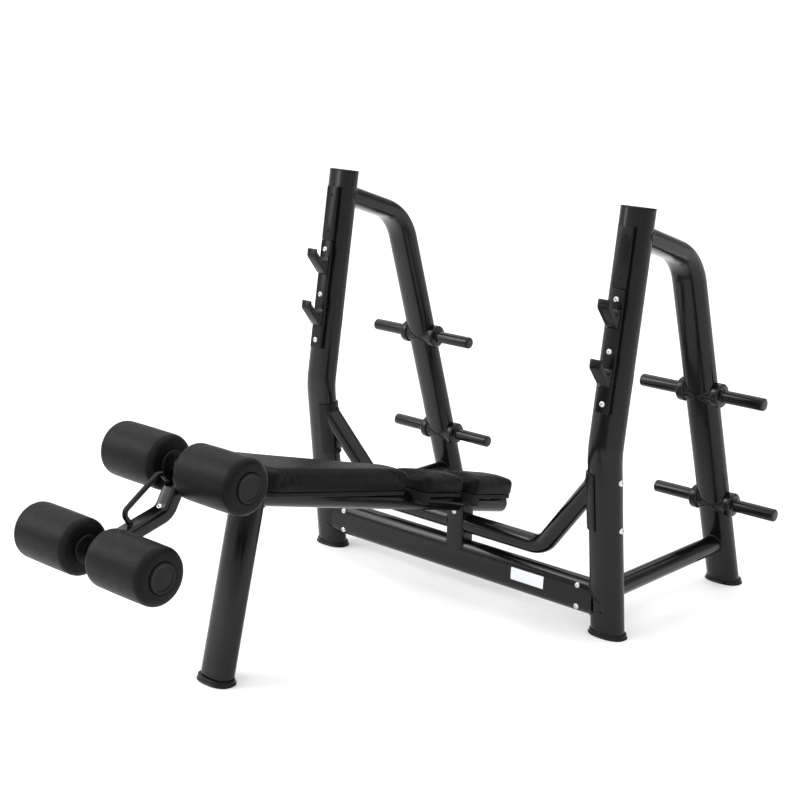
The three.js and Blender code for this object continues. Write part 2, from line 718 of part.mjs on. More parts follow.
function addBench() {
  const sloping = new THREE.Group();
  sloping.position.z = BENCH_ORIGIN_Z;
  sloping.rotation.x = BENCH_TILT;
  rack.add(sloping);
  for (const pad of PADS) {
    place(sloping, `${pad.name}_pad`, padLayer(pad, 0, BOARD_TOP + GAP, pad.top), CUSHION_VINYL);
    place(sloping, `${pad.name}_board`, board(pad), BOARD_PLY);
  }
  place(sloping, "spine", spine(), FRAME_PAINT);
  place(sloping, "spine_plug", spinePlug(), CAP_RUBBER);
  place(rack, "front_leg", carve(frontTube(), spineInRack(GAP), underFeet), FRAME_PAINT);
  place(rack, "front_foot", footCap(legFoot, legTop, frontTube(GAP)), CAP_RUBBER);
}

function addRollers(level, { y, z }) {
  const axle = rodAlongX(AXLE_RADIUS, [-AXLE_HALF, AXLE_HALF], { y: 0, z: 0 });
  place(rack, `${level}_axle`, axle, AXLE_STEEL, 0, y, z);
  for (const { side, sign } of SIDES) {
    const pieces = [
      [`roller_${level}_${side}`, roller(), ROLLER_FOAM],
      [`roller_core_${level}_${side}`, rollerCore(), HARD_PLASTIC],
      [`roller_cap_${level}_${side}`, rollerCap(), HARD_PLASTIC],
      [`axle_disc_${level}_${side}`, axleDisc(), HARD_PLASTIC],
    ];
    for (const [name, geometry, finish] of pieces) {
      place(rack, name, geometry, finish, 0, y, z).scale.x = sign;
    }
  }
}

SIDES.forEach(addSide);
addBraces();
addBench();
addRollers("upper", UPPER_AXLE);
addRollers("lower", LOWER_AXLE);
place(rack, "leg_arm", legArm(), FRAME_PAINT);
place(rack, "handle_loop", handleLoop(), FRAME_PAINT);
place(rack, "yoke", yoke(), FRAME_PAINT);

export default bench;
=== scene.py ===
"""Decline bench with a bar rack: the visual model and its studio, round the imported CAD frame.

Metres, +Z up. Side points are given as (y, z) with y from the foot of the uprights.
"""
import math

import bmesh
import bpy
from mathutils import Matrix, Vector
from mathutils.bvhtree import BVHTree


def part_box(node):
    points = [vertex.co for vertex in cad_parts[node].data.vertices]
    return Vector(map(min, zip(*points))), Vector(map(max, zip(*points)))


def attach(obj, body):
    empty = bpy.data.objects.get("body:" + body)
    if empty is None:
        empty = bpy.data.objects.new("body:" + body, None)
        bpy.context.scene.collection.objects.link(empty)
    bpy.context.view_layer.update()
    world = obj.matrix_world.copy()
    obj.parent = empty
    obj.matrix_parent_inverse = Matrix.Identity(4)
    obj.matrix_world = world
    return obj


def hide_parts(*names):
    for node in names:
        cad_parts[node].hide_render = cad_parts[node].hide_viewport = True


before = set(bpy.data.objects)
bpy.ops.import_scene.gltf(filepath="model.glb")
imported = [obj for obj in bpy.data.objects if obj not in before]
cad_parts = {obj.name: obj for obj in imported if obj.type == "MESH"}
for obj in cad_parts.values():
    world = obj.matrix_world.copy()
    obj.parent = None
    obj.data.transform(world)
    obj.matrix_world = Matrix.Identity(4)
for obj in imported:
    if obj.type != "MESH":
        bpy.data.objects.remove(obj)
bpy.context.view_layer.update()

X_AXIS = Vector((1, 0, 0))
Y_AXIS = Vector((0, 1, 0))
Z_AXIS = Vector((0, 0, 1))
SIDES = (("left", -1), ("right", 1))

# ---------------------------------------------------------------- the frame's routes, as in the CAD
RACK_Y = 0.40518  # of the uprights' feet from the origin
OVAL = (0.110, 0.064)
OVAL_POWER = 2.4
TUBE_RADIUS = 0.030
UPRIGHT = ((0, 0), (-0.067, 0.573), (0.0306, 1.2745))
UPRIGHT_BEND = 0.250
REAR_LEG = ((0.020, 1.1987), (0.296, 1.109), (0.655, 0))
REAR_BEND = 0.170
BEAM_Z = 0.111
SIDE_TUBE_Z = 0.144
U_RUN = (-0.011, 0.2206)
U_CORNER_X = 0.3275
U_END = (0.5424, 0.4835)
U_BEND = 0.086
POST_WIDE = 0.065
POST_Y = (-0.0415, 0.015)
HORN_HEIGHTS = {"lower": 0.295, "upper": 0.671}
UPPER_AXLE = (-1.1505, 0.636)
LOWER_AXLE = (-1.431, 0.472)
ARM_KNEE = (-1.2135, 0.527)
ARM_SECTION = (0.054, 0.040, 0.012)
FORK_HALF = 0.014
ARM_BEND = 0.045
LOOP = ((-1.176, 0.586), (-1.224, 0.638), (-1.346, 0.555), (-1.310, 0.498))
FRONT_LEG = ((-1.037, 0), (-0.91984, 0.505))
BENCH_ORIGIN_Z = 0.3815
BENCH_SLOPE = 0.2456
SPINE_DEPTH = 0.0965
SPINE = (-1.050, 0.212)

RACK_X = sum(corner.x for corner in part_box("upright_right")) / 2


def side(point, x=0.0):
    return Vector((x, point[0] + RACK_Y, point[1]))


def on_run(start, end, z, x=0.0):
    """The point at height z on the straight run from start to end."""
    share = (z - start[1]) / (end[1] - start[1])
    return side((start[0] + share * (end[0] - start[0]), z), x)


# ---------------------------------------------------------------- finishes
class Finish:
    """A node material round one Principled shader, in real-scale object coordinates."""

    def __init__(self, name, **values):
        self.material = bpy.data.materials.new(name)
        self.material.use_nodes = True
        self.tree = self.material.node_tree
        self.shader = self.tree.nodes["Principled BSDF"]
        for socket, value in values.items():
            self.shader.inputs[socket.replace("_", " ")].default_value = value
        self.place = self.tree.nodes.new("ShaderNodeTexCoord").outputs["Object"]
        self.normal = None

    def node(self, kind, **values):
        made = self.tree.nodes.new("ShaderNode" + kind)
        for name, value in values.items():
            socket = made.inputs[name.replace("_", " ")]
            if isinstance(value, bpy.types.NodeSocket):
                self.tree.links.new(value, socket)
            else:
                socket.default_value = value
        return made

    def noise(self, size, detail=3.0, stretch=(1, 1, 1)):
        """Noise whose features are about that size in metres."""
        place = self.node("Mapping", Vector=self.place, Scale=stretch).outputs[0]
        return self.node("TexNoise", Vector=place, Scale=1 / size, Detail=detail).outputs[0]

    def cells(self, size):
        return self.node("TexVoronoi", Vector=self.place, Scale=1 / size).outputs["Distance"]

    def between(self, value, low, high, spread=(0.3, 0.7)):
        made = self.node("MapRange", Value=value, From_Min=spread[0], From_Max=spread[1])
        made.inputs["To Min"].default_value = low
        made.inputs["To Max"].default_value = high
        return made.outputs[0]

    def colour(self, value, *stops):
        made = self.node("ValToRGB", Fac=value)
        ramp = made.color_ramp
        for i, (at, shade) in enumerate(stops):
            stop = ramp.elements[i] if i < 2 else ramp.elements.new(at)
            stop.position = at
            stop.color = (*shade, 1) if isinstance(shade, tuple) else (shade, shade, shade * 1.04, 1)
        self.tree.links.new(made.outputs[0], self.shader.inputs["Base Color"])

    def roughness(self, value, low, high):
        self.tree.links.new(self.between(value, low, high), self.shader.inputs["Roughness"])

    def bump(self, height, depth, strength=1.0):
        made = self.node("Bump", Height=height, Distance=depth, Strength=strength)
        if self.normal:
            self.tree.links.new(self.normal, made.inputs["Normal"])
        self.normal = made.outputs[0]
        self.tree.links.new(self.normal, self.shader.inputs["Normal"])


def powder_coat(name, shade, low, high, peel, gloss):
    """Sprayed powder: orange peel, a slow change of gloss, and fine pale dust."""
    made = Finish(name, IOR=gloss, Coat_Weight=0.04, Coat_Roughness=0.08)
    made.colour(made.noise(0.05, 4), (0.25, shade * 0.8), (0.62, shade * 1.15), (0.9, shade * 1.5))
    made.roughness(made.noise(0.09, 5), low, high)
    made.bump(made.noise(0.0032, 2), peel)
    made.bump(made.noise(0.0007, 2), peel * 0.25)
    return made


def vinyl():
    made = Finish("vinyl", IOR=1.15)
    made.colour(made.noise(0.03, 5), (0.3, 0.0035), (0.55, 0.0048), (0.8, 0.0065))
    made.roughness(made.noise(0.012, 5), 0.40, 0.52)
    made.bump(made.noise(0.045, 3), 0.0006)
    made.bump(made.cells(0.0016), 0.00016)
    made.bump(made.noise(0.0006, 3), 0.00006)
    return made


def foam_skin():
    made = Finish("foam_skin", IOR=1.20)
    made.colour(made.noise(0.04, 5), (0.3, 0.0038), (0.55, 0.0050), (0.8, 0.0068))
    made.roughness(made.noise(0.015, 5), 0.38, 0.48)
    made.bump(made.noise(0.03, 3), 0.0004)
    made.bump(made.cells(0.0011), 0.00010)
    made.bump(made.noise(0.0005, 3), 0.00006)
    return made


def moulded(name, shade, low, high, grain):
    made = Finish(name, IOR=1.26)
    made.colour(made.noise(0.02, 4), (0.3, shade * 0.8), (0.7, shade * 1.2))
    made.roughness(made.noise(0.01, 4), low, high)
    made.bump(made.noise(0.0009, 3), grain)
    return made


def zinc():
    made = Finish("zinc", Metallic=1.0)
    steel = made.noise(0.004, 4)
    made.colour(steel, (0.3, (0.55, 0.56, 0.58)), (0.7, (0.74, 0.74, 0.73)))
    made.roughness(made.noise(0.0012, 4), 0.22, 0.38)
    made.bump(made.noise(0.0005, 3), 0.00005)
    return made


def stained_ply():
    made = Finish("stained_ply", IOR=1.25)
    grain = made.noise(0.02, 6, (6, 0.5, 6))
    made.colour(grain, (0.3, (0.004, 0.0038, 0.0036)), (0.7, (0.010, 0.0092, 0.0084)))
    made.roughness(grain, 0.55, 0.75)
    made.bump(made.noise(0.004, 5, (5, 0.4, 5)), 0.0003)
    return made


def painted_label():
    made = Finish("blank_label", IOR=1.5)
    made.colour(made.noise(0.01, 3), (0.3, (0.74, 0.76, 0.79)), (0.7, (0.82, 0.83, 0.85)))
    made.roughness(made.noise(0.006, 3), 0.25, 0.35)
    made.bump(made.noise(0.002, 2), 0.00004)
    return made


PAINT = powder_coat("powder_coat", 0.0026, 0.17, 0.25, 0.00004, 1.33)
PLATE = powder_coat("powder_coat_plate", 0.0022, 0.22, 0.30, 0.00005, 1.27)
VINYL = vinyl()
FOAM = foam_skin()
RUBBER = moulded("rubber", 0.0045, 0.20, 0.30, 0.00003)
PLASTIC = moulded("plastic", 0.0045, 0.34, 0.44, 0.00006)
DARK_BOLT = moulded("black_oxide", 0.0060, 0.30, 0.42, 0.00004)
ZINC = zinc()
PLY = stained_ply()
LABEL = painted_label()


# ---------------------------------------------------------------- sections and lofts
def oval(wide=OVAL[0], deep=OVAL[1], count=72):
    def bulge(value):
        return math.copysign(abs(value) ** (2 / OVAL_POWER), value)

    turns = [2 * math.pi * i / count for i in range(count)]
    return [(wide / 2 * bulge(math.cos(t)), deep / 2 * bulge(math.sin(t))) for t in turns]


def circle(radius, count=40):
    turns = [2 * math.pi * i / count for i in range(count)]
    return [(radius * math.cos(t), radius * math.sin(t)) for t in turns]


def arc(centre, radius, start, end, steps):
    """Points on an arc, with angles in degrees."""
    turns = [math.radians(start + (end - start) * i / steps) for i in range(steps + 1)]
    return [(centre[0] + radius * math.cos(t), centre[1] + radius * math.sin(t)) for t in turns]


def rounded(wide, deep, corner, steps=6):
    x, y = wide / 2 - corner, deep / 2 - corner
    corners = ((x, y), (-x, y), (-x, -y), (x, -y))
    return [p for i, c in enumerate(corners) for p in arc(c, corner, 90 * i, 90 * i + 90, steps)]


def loft(rings, closed=False):
    """Vertices and faces of a skin over rings with the same number of points."""
    count = len(rings[0])
    verts = [point for ring in rings for point in ring]
    faces = []
    for i in range(len(rings) if closed else len(rings) - 1):
        low, high = i * count, (i + 1) % len(rings) * count
        for j in range(count):
            k = (j + 1) % count
            faces.append((low + j, low + k, high + k, high + j))
    if not closed:
        faces.append(tuple(range(count)))
        faces.append(tuple(range(len(verts) - count, len(verts))))
    return verts, faces


def stations(corners, radius, steps):
    """Points and headings of straight runs with an arc at each inner corner."""
    headings = [(b - a).normalized() for a, b in zip(corners, corners[1:])]
    made = [(corners[0], headings[0])]
    for corner, before, after in zip(corners[1:], headings, headings[1:]):
        turn = before.angle(after)
        inward = (after - before * math.cos(turn)).normalized()
        start = corner - before * radius * math.tan(turn / 2)
        for i in range(steps + 1):
            angle = turn * i / steps
            point = start + before * radius * math.sin(angle)
            point = point + inward * radius * (1 - math.cos(angle))
            made.append((point, before * math.cos(angle) + inward * math.sin(angle)))
    made.append((corners[-1], headings[-1]))
    return made


def sweep(section, corners, across=X_AXIS, radius=0.0, steps=14):
    """A tube whose section's first axis stays along `across`."""
    rings = []
    for point, heading in stations(corners, radius, steps):
        up = heading.cross(across).normalized()
        rings.append([point + across * x + up * y for x, y in section])
    return loft(rings)


def turned(outline, centre, axis=X_AXIS, count=64):
    """A solid of revolution from (distance along the axis, radius) points."""
    first = axis.orthogonal().normalized()
    second = axis.cross(first).normalized()
    rings = []
    for along, radius in outline:
        ring = [first * x + second * y for x, y in circle(radius, count)]
        rings.append([centre + axis * along + point for point in ring])
    return loft(rings)


def rectangle(low, high, first, last):
    return ((low, first), (high, first), (high, last), (low, last))


def slab(outline, low, high, place=Matrix.Identity(4)):
    """A side outline in (y, z), extruded across X."""
    rings = [[place @ Vector((x, y, z)) for y, z in outline] for x in (low, high)]
    return loft(rings)


# ---------------------------------------------------------------- pieces
def mesh_of(name, parts):
    bm = bmesh.new()
    for verts, faces in parts:
        made = [bm.verts.new(v) for v in verts]
        for face in faces:
            bm.faces.new([made[i] for i in face])
    bmesh.ops.remove_doubles(bm, verts=bm.verts, dist=1e-6)
    bmesh.ops.recalc_face_normals(bm, faces=bm.faces)
    mesh = bpy.data.meshes.new(name)
    bm.to_mesh(mesh)
    bm.free()
    return mesh


def baked(obj):
    """Applies the modifiers."""
    graph = bpy.context.evaluated_depsgraph_get()
    mesh = bpy.data.meshes.new_from_object(obj.evaluated_get(graph))
    obj.modifiers.clear()
    obj.data = mesh


def smooth(obj, angle):
    obj.data.shade_smooth()
    obj.data.set_sharp_from_angle(angle=math.radians(angle))


def piece(name, parts, finish, body="frame", nodes=(), bevel=0.0, angle=42):
    obj = bpy.data.objects.new(name, mesh_of(name, parts))
    bpy.context.collection.objects.link(obj)
    if bevel:
        edges = obj.modifiers.new("edges", "BEVEL")
        edges.width = bevel
        edges.segments = 3
        edges.limit_method = "ANGLE"
        edges.angle_limit = math.radians(angle)
        baked(obj)
    smooth(obj, angle)
    return settle(obj, finish, body, nodes)


def settle(obj, finish, body, nodes=()):
    obj.data.materials.clear()
    obj.data.materials.append(finish.material)
    if nodes:
        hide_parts(*nodes)
    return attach(obj, body)


def hexagon(radius, count):
    """A circle's points pulled in to six flats."""
    points = []
    for x, y in circle(radius, count):
        off = math.remainder(math.atan2(y, x), math.pi / 3)
        pull = math.cos(math.pi / 6) / math.cos(abs(off) - math.pi / 6)
        points.append((x * pull, y * pull))
    return points


BOLT_RADIUS = 0.0088
BOLT_DOME = ((-0.002, 1.0), (0.0016, 1.0), (0.0030, 0.93), (0.0042, 0.80), (0.0050, 0.62), (0.0052, 0.50))
BOLT_SOCKET = ((0.0050, 0.46), (0.0020, 0.46))


def bolt(name, at, axis, finish=ZINC, body="frame", radius=BOLT_RADIUS):
    """A domed head with a hexagon socket, from (height, share of the radius) pairs."""
    first = axis.orthogonal().normalized()
    second = axis.cross(first).normalized()
    size = radius / BOLT_RADIUS
    rings = [(along, circle(radius * share, 36)) for along, share in BOLT_DOME]
    rings += [(along, hexagon(radius * share, 36)) for along, share in BOLT_SOCKET]
    placed = []
    for along, ring in rings:
        middle = at + axis * along * size
        placed.append([middle + first * x + second * y for x, y in ring])
    return piece(name, [loft(placed)], finish, body, angle=35)


def run_of(points, closed, bead):
    """A rippled weld bead along a line of points."""
    ripple = 0.0042
    rings = []
    gone = 0.0
    count = len(points)
    for i, point in enumerate(points):
        before = points[i - 1] if closed or i else point
        after = points[(i + 1) % count] if closed or i + 1 < count else point
        heading = (after - before).normalized()
        first = heading.orthogonal().normalized()
        second = heading.cross(first)
        size = bead * (1 + 0.10 * math.cos(2 * math.pi * gone / ripple))
        rings.append([point + first * x + second * y for x, y in circle(size, 8)])
        gone += (after - point).length
    return loft(rings, closed)


def weld(section, start, heading, target, across=X_AXIS, bead=0.0032):
    """The bead where a tube, seen from start along heading, meets the target's surface."""
    tree = BVHTree.FromObject(target, bpy.context.evaluated_depsgraph_get())
    up = heading.cross(across).normalized()
    fine = []
    for (ax, ay), (bx, by) in zip(section, section[1:] + section[:1]):
        parts = max(1, round(math.hypot(bx - ax, by - ay) / 0.0012))
        fine += [(ax + (bx - ax) * k / parts, ay + (by - ay) * k / parts) for k in range(parts)]
    hits = [tree.ray_cast(start + across * x + up * y, heading)[0] for x, y in fine]
    if all(hits):
        return [run_of(hits, True, bead)]
    first_gap = next(i for i, hit in enumerate(hits) if hit is None)
    hits = hits[first_gap:] + hits[:first_gap]
    runs, run = [], []
    for hit in hits + [None]:
        if hit is not None and (not run or (hit - run[-1]).length < 0.02):
            run.append(hit)
            continue
        if len(run) > 8:
            runs.append(run)
        run = [hit] if hit is not None else []
    return [run_of(run, False, bead) for run in runs]


# ---------------------------------------------------------------- rack sides
def foot_cap(foot, upper):
    """A moulded rubber shoe: a flange on the floor and a sleeve round the tube."""
    lean = (upper[0] - foot[0]) / (upper[1] - foot[1])
    deep = OVAL[1] * math.hypot(1, lean)
    profile = ((0, 6.6), (0.5, 7.6), (1.4, 8), (3.8, 8), (4.8, 7.5), (5.4, 6.3), (6.4, 5.3), (8, 5))
    profile += ((14.2, 4.6), (15.4, 4.0), (16, 2.8), (16, -3))
    rings = []
    for height, wall in profile:
        z, grown = height / 1000, 2 * wall / 1000
        centre = side((foot[0], z))
        ring = oval(OVAL[0] + grown, deep + grown)
        rings.append([centre + Vector((x, y, 0)) for x, y in ring])
    return loft(rings)


def shifted(parts, x):
    offset = Vector((x, 0, 0))
    return [([vert + offset for vert in verts], faces) for verts, faces in parts]


def top_cap():
    """A domed plug in the upper end of an upright."""
    end, knee = side(UPRIGHT[2]), side(UPRIGHT[1])
    heading = (end - knee).normalized()
    up = heading.cross(X_AXIS).normalized()
    rings = []
    profile = ((-8, -6), (-6.4, -0.6), (-6.2, 0), (-2.4, 0.2))
    profile += ((-1, -0.5), (-0.2, -1.8), (0, -4), (0.4, -20))
    for height, wall in profile:
        centre = end + heading * height / 1000
        ring = oval(OVAL[0] + 2 * wall / 1000, OVAL[1] + 2 * wall / 1000)
        rings.append([centre + X_AXIS * x + up * y for x, y in ring])
    return loft(rings)


def plate_horn(at, axis):
    """A storage horn: a rounded collar on the leg and a rod with a softened end."""
    outline = [(0.020, 0), (0.020, 0.031), (0.046, 0.032)]
    outline += [(0.0535 + x, 0.0305 + y) for x, y in arc((0, 0), 0.0075, 180, 90, 6)]
    outline += [(0.0675 + x, 0.0305 + y) for x, y in arc((0, 0), 0.0075, 90, 0, 6)]
    outline += [(0.0755, 0.0235), (0.0765, 0.0212), (0.0785, 0.020)]
    outline += [(0.213 + x, 0.015 + y) for x, y in arc((0, 0), 0.005, 90, 0, 5)]
    outline.append((0.2185, 0))
    return turned(outline, at, axis, 56)


def horn_point(z, x):
    return on_run(REAR_LEG[2], REAR_LEG[1], z, x)


def saddle_section():
    """The C-shaped section of the bracket round an upright's inner end, drawn for the +X side."""
    edge = -0.015
    outer = [p for p in oval(OVAL[0] + 0.0106, OVAL[1] + 0.0106, 144) if p[0] < edge]
    inner = [p for p in oval(OVAL[0] - 0.001, OVAL[1] - 0.001, 144) if p[0] < edge]
    return outer + inner[::-1]


def build_side(name, sign):
    x = sign * RACK_X
    path = [on_run(UPRIGHT[0], UPRIGHT[1], 0.011), side(UPRIGHT[1]), side(UPRIGHT[2])]
    path[2] -= (path[2] - path[1]).normalized() * 0.0063
    tube = shifted([sweep(oval(), path, radius=UPRIGHT_BEND)], x)
    upright = piece(f"upright_{name}_tube", tube, PAINT, nodes=[f"upright_{name}"])
    caps = shifted([top_cap()], x)
    nodes = [f"upright_top_cap_{name}"]
    piece(f"upright_{name}_plug", caps, RUBBER, nodes=nodes, angle=50)
    shoe = shifted([foot_cap(UPRIGHT[0], UPRIGHT[1])], x)
    piece(f"upright_{name}_shoe", shoe, RUBBER, nodes=[f"upright_foot_{name}"], angle=50)

    path = [side(REAR_LEG[0]), side(REAR_LEG[1]), on_run(REAR_LEG[1], REAR_LEG[2], 0.013)]
    leg_parts = shifted([sweep(oval(), path, radius=REAR_BEND, steps=24)], x)
    leg = piece(f"rear_leg_{name}_tube", leg_parts, PAINT, nodes=[f"rear_leg_{name}"])
    shoe = shifted([foot_cap(REAR_LEG[2], REAR_LEG[1])], x)
    piece(f"rear_leg_{name}_shoe", shoe, RUBBER, nodes=[f"rear_foot_{name}"], angle=50)

    ends = (on_run(UPRIGHT[0], UPRIGHT[1], SIDE_TUBE_Z), horn_point(SIDE_TUBE_Z, 0))
    tube = shifted([sweep(circle(TUBE_RADIUS), ends)], x)
    piece(f"side_tube_{name}_tube", tube, PAINT, nodes=[f"side_tube_{name}"])

    centre = Vector((x, 0, 0))
    middle = (ends[0] + ends[1]) / 2 + centre
    beads = weld(circle(TUBE_RADIUS), middle, -Y_AXIS, upright)
    beads += weld(circle(TUBE_RADIUS), middle, Y_AXIS, leg)
    heading = (side(REAR_LEG[0]) - side(REAR_LEG[1])).normalized()
    beads += weld(oval(), side(REAR_LEG[1], x) + heading * 0.12, heading, upright)
    for level, z in HORN_HEIGHTS.items():
        for face in ("inner", "outer"):
            away = X_AXIS * (sign if face == "outer" else -sign)
            node = f"plate_horn_{name}_{level}_{face}"
            horn = plate_horn(horn_point(z, x), away)
            piece(f"{node}_bar", [horn], PAINT, nodes=[node], angle=30)
            beads += weld(circle(0.032), horn_point(z, x) + away * 0.2, -away, leg, across=Z_AXIS)

    section = [(sign * px, py) for px, py in saddle_section()]
    path = [on_run(UPRIGHT[0], UPRIGHT[1], z, x) for z in (0.340, 0.515)]
    nodes = [f"u_tube_saddle_{name}"]
    saddle = [sweep(section, path)]
    saddle = piece(f"u_tube_saddle_{name}_plate", saddle, PLATE, nodes=nodes, bevel=0.0012)
    for level, z in (("low", 0.349), ("high", 0.497)):
        at = on_run(UPRIGHT[0], UPRIGHT[1], z, x)
        outer = at + X_AXIS * sign * OVAL[0] / 2
        inner = at - X_AXIS * sign * (OVAL[0] / 2 + 0.005)
        bolt(f"saddle_bolt_{name}_{level}", outer, X_AXIS * sign, radius=0.0095)
        bolt(f"saddle_nut_{name}_{level}", inner, -X_AXIS * sign, DARK_BOLT, radius=0.0095)
    return upright, saddle, beads


# ---------------------------------------------------------------- bar hooks
HOOK_SADDLES = (0.236, 0.405)
HOOK_BOLTS = (0.148, 0.298, 0.446)
COVER_SCREWS = (0.506, 0.624)
PLATE_OUT = 0.048


def hook_outline(saddle):
    """A cast J: the bar's saddle lies against the plate and the lip stands at the outer end."""
    outer = -PLATE_OUT - 0.063
    inner = outer + 0.007
    root = -0.028
    cradle = (-PLATE_OUT - 0.017, saddle + 0.017)
    points = [(root, saddle - 0.041), (root, saddle + 0.019), (-PLATE_OUT, saddle + 0.019)]
    points += arc(cradle, 0.017, 0, -112, 14)
    points += arc((inner + 0.010, saddle + 0.036), 0.010, -115, -180, 6)
    points += [(inner, saddle + 0.038), (inner - 0.001, saddle + 0.041)]
    points += [(outer + 0.001, saddle + 0.041), (outer, saddle + 0.039), (outer, saddle + 0.019)]
    points += [(outer + 0.003, saddle + 0.012), (-PLATE_OUT - 0.010, saddle - 0.036)]
    points += [(-PLATE_OUT - 0.002, saddle - 0.041)]
    return points


def build_hooks(name, sign):
    lean = math.atan2(UPRIGHT[2][0] - UPRIGHT[1][0], UPRIGHT[2][1] - UPRIGHT[1][1])
    place = Matrix.Translation(side(UPRIGHT[1], sign * RACK_X)) @ Matrix.Rotation(-lean, 4, "X")
    outward = place.to_3x3() @ -Y_AXIS

    def plate(low, high):
        outline = ((-PLATE_OUT, low), (-PLATE_OUT, high), (-0.026, high), (-0.026, low))
        return slab(outline, -0.0225, 0.0225, place)

    backing = piece(
        f"hook_backing_{name}", [plate(0.121, 0.475)], PLATE, bevel=0.0018
    )
    hooks = [slab(hook_outline(saddle), -0.0195, 0.0195, place) for saddle in HOOK_SADDLES]
    piece(
        f"bar_hooks_{name}",
        hooks,
        PLATE,
        nodes=[f"bar_hook_plate_{name}"],
        bevel=0.0032,
        angle=40,
    )
    piece(
        f"upper_cover_{name}",
        [plate(0.477, 0.651)],
        PLATE,
        nodes=[f"cover_plate_{name}"],
        bevel=0.0018,
    )
    for i, v in enumerate(HOOK_BOLTS):
        bolt(f"hook_bolt_{name}_{i}", place @ Vector((0, -PLATE_OUT, v)), outward)
    for i, v in enumerate(COVER_SCREWS):
        at = place @ Vector((0, -PLATE_OUT, v))
        bolt(f"cover_screw_{name}_{i}", at, outward, DARK_BOLT, radius=0.0048)
    return backing


# ---------------------------------------------------------------- braces
BEAM_BOLT_X = 0.483
BEAM_BOLT_OFFSET = 0.033
LABEL_X = (0.236, 0.360)
LABEL_Z = 0.1175
LABEL_HALF = 0.0195


POST_TOP, POST_BOLT_Z, POST_WELD_Z = 0.282, 0.259, 0.19


def build_braces(sides):
    beads = []
    y_beam = on_run(UPRIGHT[0], UPRIGHT[1], BEAM_Z).y
    end = RACK_X - 0.035
    path = [Vector((-end, y_beam, BEAM_Z)), Vector((end, y_beam, BEAM_Z))]
    beam = [sweep(oval(), path, across=Z_AXIS)]
    beam = piece("cross_beam_tube", beam, PAINT, nodes=["cross_beam"])
    for (_, sign), (upright, _, found) in zip(SIDES, sides):
        middle = Vector((sign * 0.3, y_beam, BEAM_Z))
        beads += weld(oval(), middle, X_AXIS * sign, upright, across=Z_AXIS)
        beads += found

    post_section = rounded(POST_WIDE, POST_Y[1] - POST_Y[0], 0.006)
    post_y = RACK_Y + (POST_Y[0] + POST_Y[1]) / 2
    path = [Vector((0, post_y, z)) for z in (BEAM_Z, POST_TOP)]
    post = [sweep(post_section, path)]
    post = piece("centre_post_tube", post, PAINT, nodes=["centre_post"])
    beads += weld(post_section, Vector((0, post_y, POST_WELD_Z)), -Z_AXIS, beam)

    arms = []
    for (_, sign), (_, saddle, _) in zip(SIDES, sides):
        corner = side(U_RUN, sign * U_CORNER_X)
        end = on_run(UPRIGHT[0], UPRIGHT[1], U_END[1], sign * U_END[0])
        heading = (end - corner).normalized()
        across = heading.cross(X_AXIS).normalized()
        route = [side(U_RUN, sign * (POST_WIDE / 2 - 0.001)), corner, end]
        arms.append(sweep(circle(TUBE_RADIUS), route, across, U_BEND, 20))
        beads += weld(circle(TUBE_RADIUS), corner + heading * 0.06, heading, saddle, across=across)
        middle = corner / 2 + side(U_RUN) / 2
        beads += weld(circle(TUBE_RADIUS), middle, -X_AXIS * sign, post, across=Z_AXIS)
    piece("u_tube_tube", arms, PAINT, nodes=["u_tube"])

    share = 2 * BEAM_BOLT_OFFSET / OVAL[0]
    seat = OVAL[1] / 2 * (1 - share**OVAL_POWER) ** (1 / OVAL_POWER)
    for name, sign in SIDES:
        for level, offset in (("low", -BEAM_BOLT_OFFSET), ("high", BEAM_BOLT_OFFSET)):
            at = Vector((sign * BEAM_BOLT_X, y_beam, BEAM_Z + offset))
            bolt(f"beam_bolt_{name}_{level}", at - Y_AXIS * seat, -Y_AXIS)
            bolt(f"beam_nut_{name}_{level}", at + Y_AXIS * seat, Y_AXIS, DARK_BOLT)
    bolt("post_bolt", Vector((0, RACK_Y + POST_Y[0], POST_BOLT_Z)), -Y_AXIS)

    face = [p for p in oval(count=288) if p[1] < 0 and abs(p[0] - LABEL_Z + BEAM_Z) < LABEL_HALF]
    face.sort()
    outline = [(y_beam + y - 0.0008, BEAM_Z + z) for z, y in face]
    outline += [(y_beam + y + 0.0010, BEAM_Z + z) for z, y in face[::-1]]
    piece("blank_label", [slab(outline, *LABEL_X)], LABEL, bevel=0.0003)
    return beads


# ---------------------------------------------------------------- bench
BENCH = Matrix.Translation(side((0, BENCH_ORIGIN_Z))) @ Matrix.Rotation(-math.atan(BENCH_SLOPE), 4, "X")
PADS = {
    "main": {"span": (-1.000, -0.312), "half": (0.150, 0.057), "top": 0.0, "corner": 0.034},
    "middle": {"span": (-0.267, -0.052), "half": (0.075, 0.060), "top": -0.006, "corner": 0.024},
    "head": {"span": (-0.027, 0.206), "half": (0.072, 0.057), "top": -0.006, "corner": 0.024},
}
BOARD_TOP = -0.0603
BOARD_THICK = 0.012
BOARD_INSET = 0.004
CLOTH_FRAMES = 20
VOXEL = 0.005


def pad_plan(pad, inset, steps=10):
    """The outline seen from above: wide at the foot end, narrow at the head end."""
    corner = max(pad["corner"] - inset, 0.004)
    low_y, high_y = pad["span"][0] + inset + corner, pad["span"][1] - inset - corner
    low_x, high_x = (half - inset - corner for half in pad["half"])
    taper = math.degrees(math.atan2(low_x - high_x, high_y - low_y))
    points = arc((low_x, low_y), corner, -90, taper, steps)
    points += arc((high_x, high_y), corner, taper, 90, steps)
    points += arc((-high_x, high_y), corner, 90, 180 - taper, steps)
    points += arc((-low_x, low_y), corner, 180 - taper, 270, steps)
    return points


def layered(pad, profile):
    """A pad or board as layers of (inset, height)."""
    return loft([[BENCH @ Vector((x, y, z)) for x, y in pad_plan(pad, inset)] for inset, z in profile])


